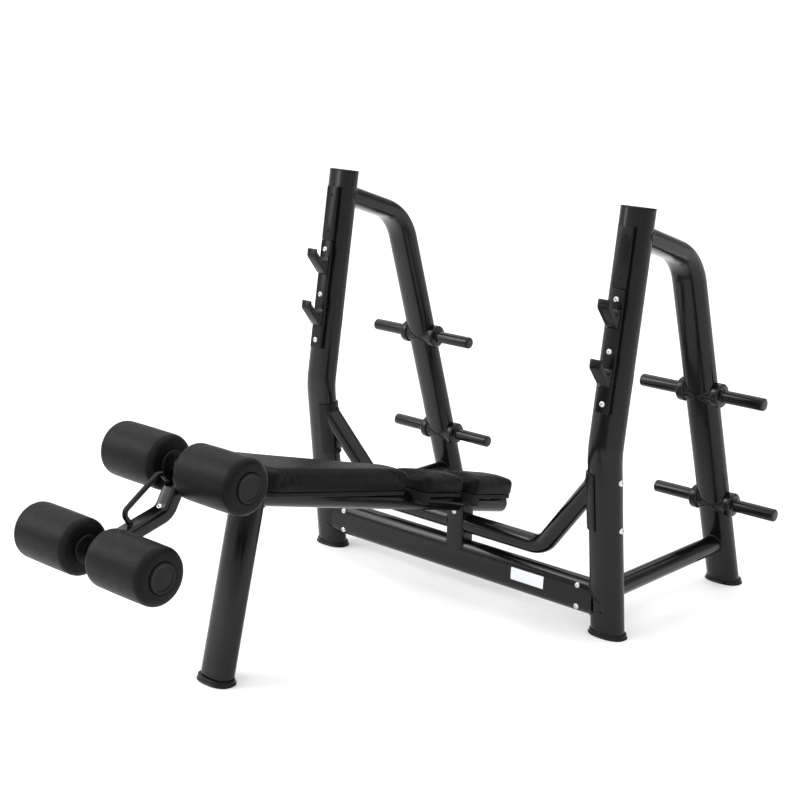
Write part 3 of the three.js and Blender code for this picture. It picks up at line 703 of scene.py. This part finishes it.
def cushion_profile(pad):
    """Side wall, rounded upper edge and a gentle crown."""
    bottom, top = BOARD_TOP + 0.0005, pad["top"] - CUSHION_SLACK
    edge = 0.017
    profile = [(0.010, bottom), (0.004, bottom + 0.001)]
    profile += [(0.0022, bottom + 0.004), (0.002, bottom + 0.012)]
    profile += [(0.002 + edge - edge * math.cos(t), top - edge + edge * math.sin(t)) for t in EDGE_TURNS]
    return profile


CUSHION_SLACK = 0.0035
EDGE_TURNS = [math.radians(10 * i) for i in range(10)]
CUSHION_CAP = 0.006


def swell(obj, low_point):
    """Cloth under pressure: the skin above the board swells, the part on the board is held."""
    remesh = obj.modifiers.new("even", "REMESH")
    remesh.mode = "VOXEL"
    remesh.voxel_size = VOXEL
    baked(obj)
    rest = [vert.co.copy() for vert in obj.data.vertices]
    inverse = BENCH.inverted()
    held = obj.vertex_groups.new(name="held")
    for i, point in enumerate(rest):
        height = (inverse @ point).z - low_point
        held.add([i], 1.0 if height < 0.006 else max(0.0, 0.35 - height * 18), "REPLACE")
    cloth = obj.modifiers.new("skin", "CLOTH")
    cloth.settings.vertex_group_mass = "held"
    cloth.settings.use_pressure = True
    cloth.settings.uniform_pressure_force = 2.2
    cloth.settings.tension_stiffness = 12
    cloth.settings.compression_stiffness = 12
    cloth.settings.bending_stiffness = 1.5
    cloth.settings.effector_weights.gravity = 0
    scene = bpy.context.scene
    for step in range(1, CLOTH_FRAMES + 1):
        scene.frame_set(step)
    baked(obj)
    scene.frame_set(1)
    for vert, start in zip(obj.data.vertices, rest):
        moved = vert.co - start
        if moved.length > CUSHION_CAP:
            vert.co = start + moved.normalized() * CUSHION_CAP


def build_cushion(name):
    pad = PADS[name]
    obj = bpy.data.objects.new(f"{name}_cushion", mesh_of(name, [layered(pad, cushion_profile(pad))]))
    bpy.context.collection.objects.link(obj)
    swell(obj, BOARD_TOP)
    obj.modifiers.new("soft", "SUBSURF").levels = 1
    obj.modifiers["soft"].render_levels = 1
    relax = obj.modifiers.new("relax", "SMOOTH")
    relax.iterations = 4
    baked(obj)
    smooth(obj, 60)
    settle(obj, VINYL, "frame", [f"{name}_pad"])


def build_board(name):
    pad = PADS[name]
    low = BOARD_TOP - BOARD_THICK
    edge = 0.0015
    profile = [(BOARD_INSET + edge, low), (BOARD_INSET, low + edge), (BOARD_INSET, BOARD_TOP)]
    parts = [layered(pad, profile)]
    if name != "main":
        front, deep = pad["span"][0] + BOARD_INSET, low - 0.025
        outline = [(front, low + 0.002), *arc((front + 0.012, deep + 0.012), 0.012, 180, 270, 8)]
        outline += [(front + 0.035, deep), (front + 0.035, low + 0.002)]
        parts.append(slab(outline, -0.068, 0.068, BENCH))
    piece(f"{name}_backing_board", parts, PLY, nodes=[f"{name}_board"], bevel=0.0012)


SPINE_BOLTS = (-0.86, -0.55, -0.17, 0.07)
SPINE_BOLT_RADIUS = 0.0075
TAB_HALF, TAB_X, TAB_Z = 0.02, (0.010, 0.052), (-0.0718, -0.0758)


def build_bench():
    for name in PADS:
        build_cushion(name)
        build_board(name)
    ends = [BENCH @ Vector((0, y, -SPINE_DEPTH)) for y in SPINE]
    along = (ends[1] - ends[0]).normalized()
    spine = [sweep(circle(TUBE_RADIUS, 56), ends)]
    spine = piece("spine_tube", spine, PAINT, nodes=["spine"])
    plug = [(-0.004, 0), (-0.004, 0.0285), (0.0003, 0.0285), (0.0003, 0.0300), (0.0032, 0.0299)]
    plug += [(0.0045, 0.0287), (0.0052, 0.0265), (0.0058, 0.012), (0.006, 0)]
    plug = [turned(plug, ends[1], along, 56)]
    piece("spine_end_plug", plug, RUBBER, nodes=["spine_plug"], angle=50)

    foot = on_run(FRONT_LEG[0], FRONT_LEG[1], 0.011)
    leg = sweep(oval(), [foot, side(FRONT_LEG[1])])
    nodes = ["front_leg"]
    leg = piece("front_leg_tube", [leg], PAINT, nodes=nodes, bevel=0.0015, angle=60)
    shoe = [foot_cap(FRONT_LEG[0], FRONT_LEG[1])]
    piece("front_leg_shoe", shoe, RUBBER, nodes=["front_foot"], angle=50)

    heading = (side(FRONT_LEG[1]) - foot).normalized()
    beads = weld(oval(), side(FRONT_LEG[1]) - heading * 0.12, heading, spine)
    for i, y in enumerate(SPINE_BOLTS):
        at = BENCH @ Vector((0, y, -SPINE_DEPTH - TUBE_RADIUS + 0.0006))
        bolt(f"spine_bolt_{i}", at, BENCH.to_3x3() @ -Z_AXIS, DARK_BOLT, radius=SPINE_BOLT_RADIUS)
        for sign in (-1, 1):
            tab = slab(rectangle(y - TAB_HALF, y + TAB_HALF, *TAB_Z),
                       *sorted(sign * x for x in TAB_X), BENCH)
            side_name = "left" if sign < 0 else "right"
            piece(f"pad_tab_{side_name}_{i}", [tab], PLATE, bevel=0.001)
    return spine, beads


# ---------------------------------------------------------------- rollers, arm and yoke
ROLLER = {"radius": 0.076, "from": 0.041, "to": 0.257, "edge": 0.020}


def roller_outline():
    """Moulded foam: rounded ends, a slightly barrelled side and a domed outer face."""
    radius, edge = ROLLER["radius"], ROLLER["edge"]
    low, high = ROLLER["from"], ROLLER["to"] - 0.0015
    outline = [(low + 0.002, 0.016), (low + 0.0005, 0.024), (low, 0.036)]
    outline += arc((low + edge, radius - edge), edge, 180, 90, 10)
    for share in (0.25, 0.5, 0.75):
        x = low + edge + share * (high - low - 2 * edge)
        outline.append((x, radius + 0.0006 * math.sin(math.pi * share)))
    outline += arc((high - edge, radius - edge), edge, 90, 0, 10)
    outline += [(high + 0.0008, 0.0495), (high + 0.0009, 0.0452), (high + 0.0006, 0.0432)]
    outline += [(high - 0.0001, 0.0416), (high - 0.0012, 0.0405)]
    outline += [(high - 0.006, 0.0402), (high - 0.006, 0.016)]
    return outline


def cap_outline():
    face = ROLLER["to"] + 0.0028
    outline = [(face - 0.011, 0), (face - 0.011, 0.0396)]
    outline += arc((face - 0.0032, 0.0364), 0.0032, 90, 0, 8)
    outline += [(face - 0.0002, 0.0340), (face - 0.0009, 0.0318)]
    outline += [(face - 0.0020, 0.0300), (face - 0.0024, 0.0280)]
    return outline + [(face - 0.0021, 0.0250), (face - 0.0016, 0.0150), (face - 0.0014, 0)]


def disc_outline():
    return [
        (0.0245, 0), (0.0245, 0.0195), (0.031, 0.0197), (0.0312, 0.0355), (0.0320, 0.0372),
        (0.0335, 0.038), (0.0385, 0.038), (0.0400, 0.0372), (0.0407, 0.0355), (0.0407, 0),
    ]


def build_rollers(level, point, holder):
    for name, sign in SIDES:
        axis = X_AXIS * sign
        body = f"{level}_roller_{name}"
        nodes = [f"roller_{level}_{name}"]
        foam = [turned(roller_outline(), side(point), axis, 96)]
        foam = piece(f"{level}_foam_{name}", foam, FOAM, body, nodes, angle=60)
        nodes = [f"roller_cap_{level}_{name}"]
        cap = [turned(cap_outline(), side(point), axis, 72)]
        piece(f"{level}_end_cap_{name}", cap, PLASTIC, body, nodes, angle=50)
        nodes = [f"axle_disc_{level}_{name}"]
        disc = [turned(disc_outline(), side(point), axis, 64)]
        piece(f"{level}_disc_{name}", disc, PLASTIC, holder, nodes, angle=50)


def build_arm():
    upper, knee, lower = (side(p) for p in (UPPER_AXLE, ARM_KNEE, LOWER_AXLE))
    down = (knee - upper).normalized()
    half, deep, corner = ARM_SECTION[0] / 2, ARM_SECTION[1] / 2, ARM_SECTION[2]
    section = rounded(*ARM_SECTION)
    fork_end = upper + down * 0.062
    parts = [sweep(section, [fork_end, knee, lower], X_AXIS, ARM_BEND)]
    edge = arc((half - corner, deep - corner), corner, 90, 0, 8)
    boss = [(-half, 0), *[(-x, r) for x, r in edge[::-1]], *edge, (half, 0)]
    parts.append(turned(boss, lower, X_AXIS, 56))
    cheek = [(x, y) for x, y in section[:7]] + [(FORK_HALF, deep), (FORK_HALF, -deep)] + section[-7:]
    eye = [(FORK_HALF, 0), (FORK_HALF, deep), *edge, (half, 0)]
    for sign in (-1, 1):
        parts.append(sweep([(sign * x, y) for x, y in cheek], [upper, fork_end + down * 0.0002]))
        parts.append(turned(eye, upper, X_AXIS * sign, 56))
    leg_arm = piece("leg_arm_tube", parts, PAINT, "leg_arm", ["leg_arm"], angle=50)

    loop = sweep(circle(0.0075, 24), [side(p) for p in LOOP], X_AXIS, 0.018, 12)
    piece("grab_loop", [loop], PAINT, "leg_arm", ["handle_loop"])
    beads = []
    for end, nearer in ((LOOP[0], LOOP[1]), (LOOP[3], LOOP[2])):
        heading = (side(end) - side(nearer)).normalized()
        beads += weld(circle(0.0075, 24), side(nearer) + heading * 0.025, heading, leg_arm, bead=0.002)
    piece("arm_weld_beads", beads, PAINT, "leg_arm", angle=80)
    middle = upper + (knee - upper) * 0.93
    out = Vector((0, down.z, -down.y))
    bolt("arm_bolt", middle + out * deep, out, body="leg_arm")


YOKE_HALF, YOKE_TIP = 0.012, 0.028


def build_yoke():
    root = BENCH @ Vector((0, SPINE[0], -SPINE_DEPTH)) + Y_AXIS * 0.020
    tip = side(UPPER_AXLE)
    lean = math.degrees(math.atan2(tip.z - root.z, tip.y - root.y))
    outline = arc((tip.y, tip.z), YOKE_TIP, lean - 90, lean + 90, 20)
    offset = Vector((0, -math.sin(math.radians(lean)), math.cos(math.radians(lean)))) * TUBE_RADIUS
    outline += [(p.y, p.z) for p in (root + offset, root - offset)]
    plate = slab(outline, -YOKE_HALF, YOKE_HALF)
    piece("yoke_plate", [plate], PAINT, nodes=["yoke"], bevel=0.0025)


def build():
    sides = [build_side(name, sign) for name, sign in SIDES]
    for name, sign in SIDES:
        build_hooks(name, sign)
    beads = build_braces(sides)
    spine, found = build_bench()
    piece("frame_weld_beads", beads + found, PAINT, angle=80)
    build_rollers("upper", UPPER_AXLE, "frame")
    build_rollers("lower", LOWER_AXLE, "leg_arm")
    build_arm()
    build_yoke()
    for name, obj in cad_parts.items():
        if not obj.hide_render:
            finish = ZINC if name.endswith("axle") else PLASTIC
            obj.data.materials.clear()
            obj.data.materials.append(finish.material)


# ---------------------------------------------------------------- studio
CAMERA_AT = Vector((3.0817, -3.3438, 1.8548))
CAMERA_YAW = math.radians(41.872)
CAMERA_PITCH = math.radians(14.417)
CAMERA_ROLL = 0.02366
CAMERA_LENS = 72.378


def build_camera():
    data = bpy.data.cameras.new("camera")
    data.lens = CAMERA_LENS
    data.sensor_width = 36
    data.clip_end = 900
    camera = bpy.data.objects.new("camera", data)
    bpy.context.collection.objects.link(camera)
    flat = math.cos(CAMERA_PITCH)
    forward = Vector((-math.sin(CAMERA_YAW) * flat, math.cos(CAMERA_YAW) * flat, -math.sin(CAMERA_PITCH)))
    right = Vector((math.cos(CAMERA_YAW), math.sin(CAMERA_YAW), 0))
    up = right.cross(forward)
    turned_right = right * math.cos(CAMERA_ROLL) + up * math.sin(CAMERA_ROLL)
    turned_up = up * math.cos(CAMERA_ROLL) - right * math.sin(CAMERA_ROLL)
    axes = Matrix((turned_right, turned_up, -forward)).transposed()
    camera.matrix_world = Matrix.Translation(CAMERA_AT) @ axes.to_4x4()
    bpy.context.scene.camera = camera


FLOOR_DEPTH, FLOOR_RADIUS = 0.02, 400


def build_floor():
    made = Finish("studio_floor", IOR=1.4)
    made.colour(made.noise(0.6, 3), (0.3, (0.90, 0.90, 0.90)), (0.7, (0.93, 0.93, 0.93)))
    made.roughness(made.noise(0.2, 3), 0.75, 0.85)
    outline = [(-FLOOR_DEPTH, 0), (-FLOOR_DEPTH, FLOOR_RADIUS), (0, FLOOR_RADIUS), (0, 0)]
    disc = turned(outline, Vector(), Z_AXIS, 96)
    floor = bpy.data.objects.new("floor", mesh_of("floor", [disc]))
    floor.data.materials.append(made.material)
    bpy.context.collection.objects.link(floor)


def area_light(name, at, target, size, power):
    data = bpy.data.lights.new(name, "AREA")
    data.shape = "RECTANGLE"
    data.size, data.size_y = size
    data.energy = power
    light = bpy.data.objects.new(name, data)
    bpy.context.collection.objects.link(light)
    light.location = at
    light.rotation_euler = (Vector(target) - Vector(at)).to_track_quat("-Z", "Y").to_euler()


SKY = ((0.03, 1.0), (0.22, 0.42))  # (height, brightness)


def sun_light(name, towards, strength, width):
    """A broad distant source, `width` degrees across."""
    data = bpy.data.lights.new(name, "SUN")
    data.energy = strength
    data.angle = math.radians(width)
    light = bpy.data.objects.new(name, data)
    bpy.context.collection.objects.link(light)
    light.rotation_euler = Vector(towards).to_track_quat("Z", "Y").to_euler()


def build_lights():
    world = bpy.data.worlds.new("studio")
    world.use_nodes = True
    nodes, links = world.node_tree.nodes, world.node_tree.links
    height = nodes.new("ShaderNodeSeparateXYZ")
    links.new(nodes.new("ShaderNodeTexCoord").outputs["Generated"], height.inputs[0])
    sky = nodes.new("ShaderNodeValToRGB")
    links.new(height.outputs["Z"], sky.inputs["Fac"])
    for stop, (at, shade) in zip(sky.color_ramp.elements, SKY):
        stop.position = at
        stop.color = (shade, shade, shade, 1)
    links.new(sky.outputs[0], nodes["Background"].inputs["Color"])
    bpy.context.scene.world = world
    sun_light("dome", (-0.1, -0.15, 1.0), 3.6, 130)
    sun_light("key", (-0.75, -0.75, 0.8), 0.5, 20)
    area_light("strip", (-2.6, -2.2, 2.2), (0, 0, 0.7), (0.5, 2.6), 25)


bpy.context.scene.view_settings.view_transform = "Standard"
build()
build_floor()
build_lights()
build_camera()
